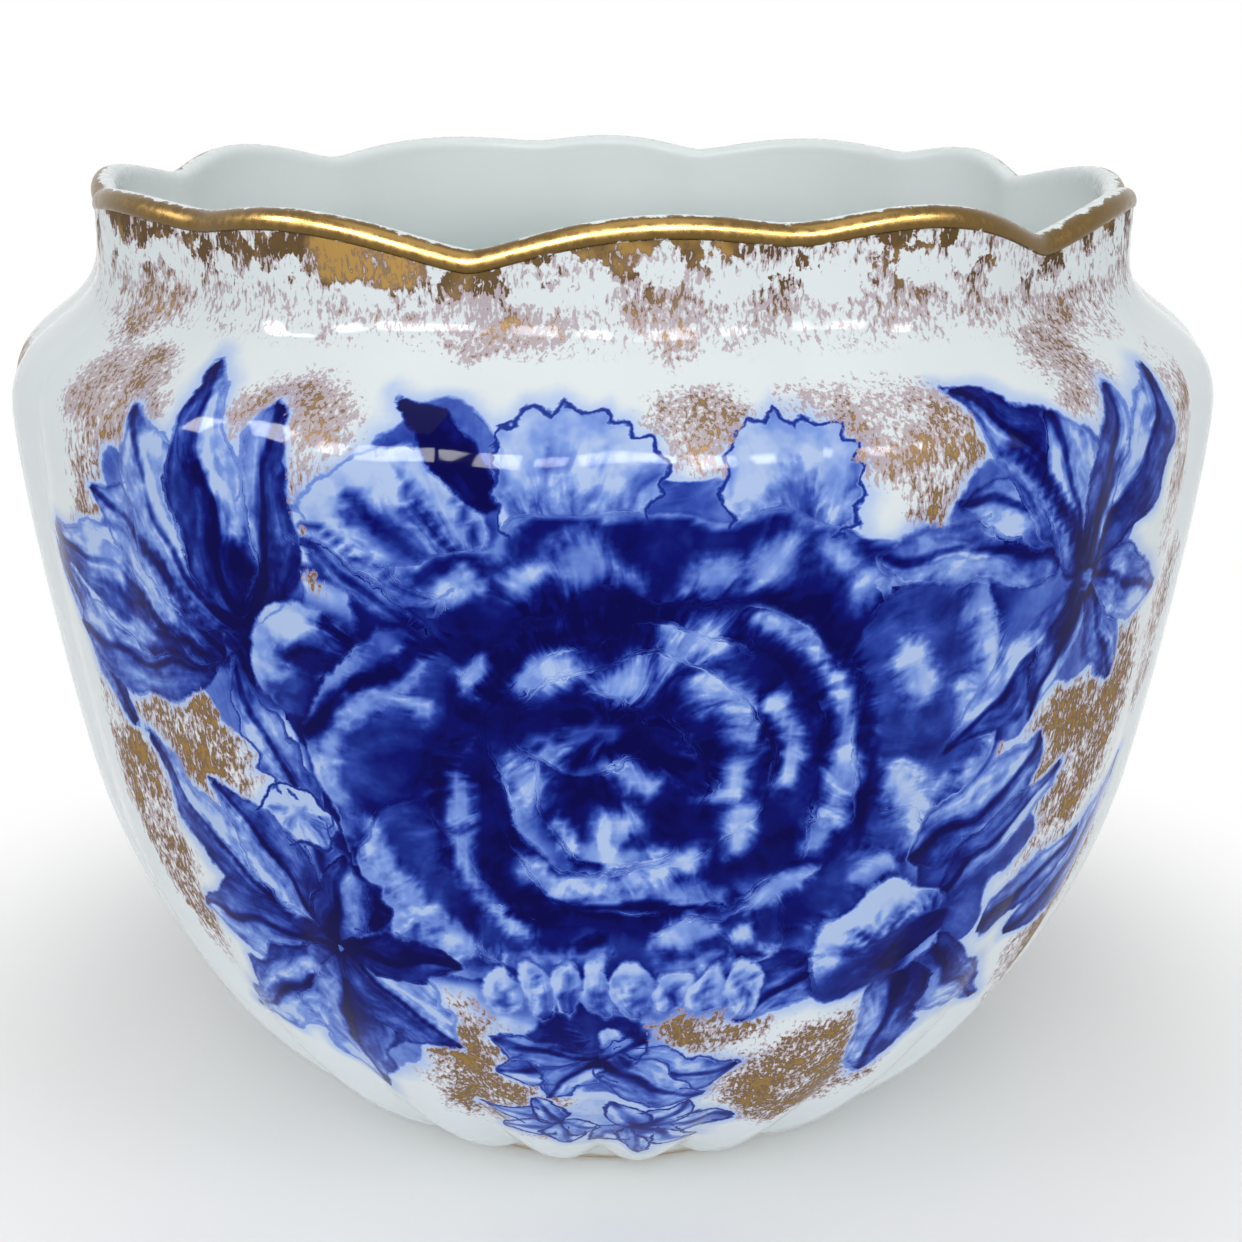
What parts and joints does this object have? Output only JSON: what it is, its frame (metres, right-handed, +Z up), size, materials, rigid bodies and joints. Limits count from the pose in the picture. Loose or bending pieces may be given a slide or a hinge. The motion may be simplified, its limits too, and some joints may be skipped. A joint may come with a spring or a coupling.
{
  "type": "jardiniere",
  "caption": "Wide-mouthed round plant pot cover with a fluted belly, a short neck, a scalloped rolled rim and a low foot ring.",
  "frame": {"origin": "on the pot's axis, at the height of the surface that the foot ring stands on", "axes": "+Z up along the pot's axis; -Y is the decorated front; +X is to the right seen from the front"},
  "size_m": [0.2892, 0.289, 0.2392],
  "materials": {
    "printed_glaze": "clear glaze over a blue underglaze print, with sponged gilding over it",
    "gilding": "burnished gold over glaze",
    "plain_glaze": "clear glaze over pale earthenware",
    "bare_earthenware": "unglazed, worn by standing"
  },
  "bodies": {
    "root": {"body_wall": "printed_glaze", "gilt_lip": "gilding", "floor_bat": "plain_glaze", "foot_ring": "bare_earthenware"}
  },
  "joints": []
}
